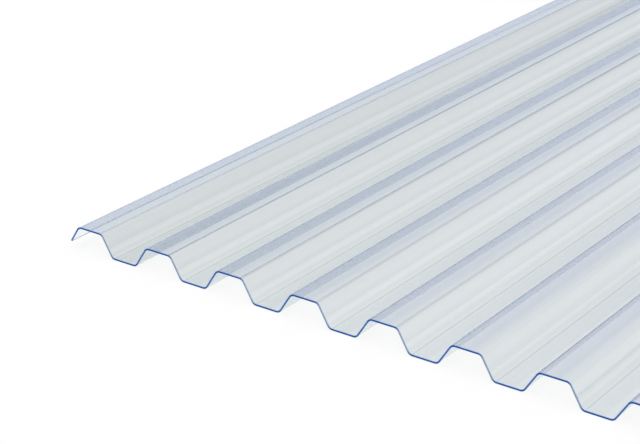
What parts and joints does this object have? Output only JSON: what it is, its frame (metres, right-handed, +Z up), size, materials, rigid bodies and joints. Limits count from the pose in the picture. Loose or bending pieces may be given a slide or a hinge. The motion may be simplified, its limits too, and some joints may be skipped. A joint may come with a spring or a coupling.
{
  "type": "trapezoidal pvc sheet",
  "caption": "Clear trapezoidal PVC roofing sheet, with flat crests and troughs along its length, a free leg at each side and square-cut ends.",
  "frame": {"origin": "under the middle of the sheet, on the plane that its troughs rest on", "axes": "+Y along the ribs, +X across them, +Z up out of the crests' flat tops"},
  "size_m": [1.0916, 2, 0.0194],
  "materials": {
    "clear_pvc": "glossy clear PVC with a faint blue tint, which gathers to deep blue in its cut edges"
  },
  "bodies": {
    "root": {"sheet": "clear_pvc"}
  },
  "joints": []
}
